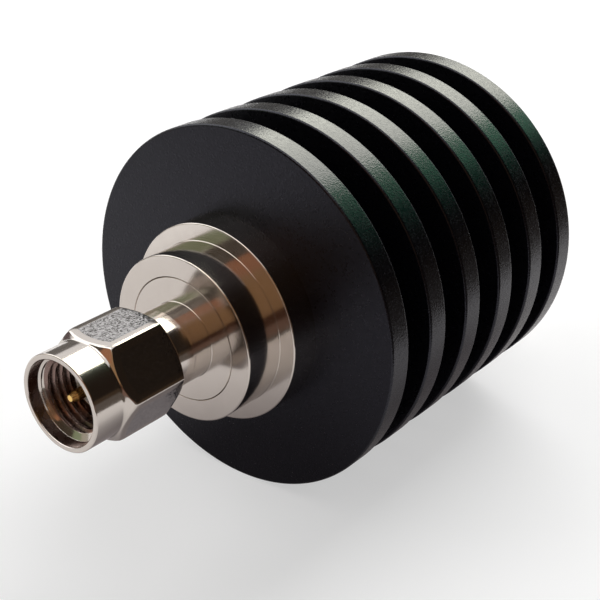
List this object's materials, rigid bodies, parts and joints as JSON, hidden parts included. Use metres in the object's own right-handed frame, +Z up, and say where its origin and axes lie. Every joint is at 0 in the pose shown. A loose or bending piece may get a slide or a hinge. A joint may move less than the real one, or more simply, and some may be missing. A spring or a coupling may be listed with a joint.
{
  "type": "rf attenuator",
  "caption": "Coaxial RF power attenuator: round finned black heat sink, stepped nickel flanges, plug with a captive hexagonal coupling nut in front, threaded jack behind.",
  "frame": {"origin": "centre of the plug's contact face, on the axis of the coaxial line", "axes": "+Y along the line from the plug to the jack, +Z up, with a flat of the nut on top"},
  "size_m": [0.0316, 0.0634, 0.0314],
  "materials": {
    "black_anodised": "fine blasted, black anodised",
    "nickel_plate": "bright nickel plate on brass",
    "gold_plate": "gold plate",
    "spring_bronze": "spring bronze",
    "copper": "machined copper",
    "silver_tab": "silver-plated strip",
    "ptfe": "white PTFE",
    "ceramic": "fired ceramic",
    "seal_rubber": "silicone rubber"
  },
  "bodies": {
    "attenuator": {"heat_sink": "black_anodised", "front_flange": "nickel_plate", "plug_body": "nickel_plate", "nut_retaining_ring": "spring_bronze", "nut_seal": "seal_rubber", "plug_insulator": "ptfe", "plug_pin": "gold_plate", "carrier_base": "copper", "carrier_lid": "copper", "attenuator_chip": "ceramic", "input_tab": "silver_tab", "output_tab": "silver_tab", "rear_flange": "nickel_plate", "jack_body": "nickel_plate", "jack_insulator": "ptfe", "jack_contact": "gold_plate"},
    "nut": {"coupling_nut": "nickel_plate"}
  },
  "joints": [
    {"name": "nut_spin", "type": "hinge", "parent": "attenuator", "child": "nut", "pos_m": [0, 0, 0], "axis": [0, 1, 0], "continuous": true}
  ]
}
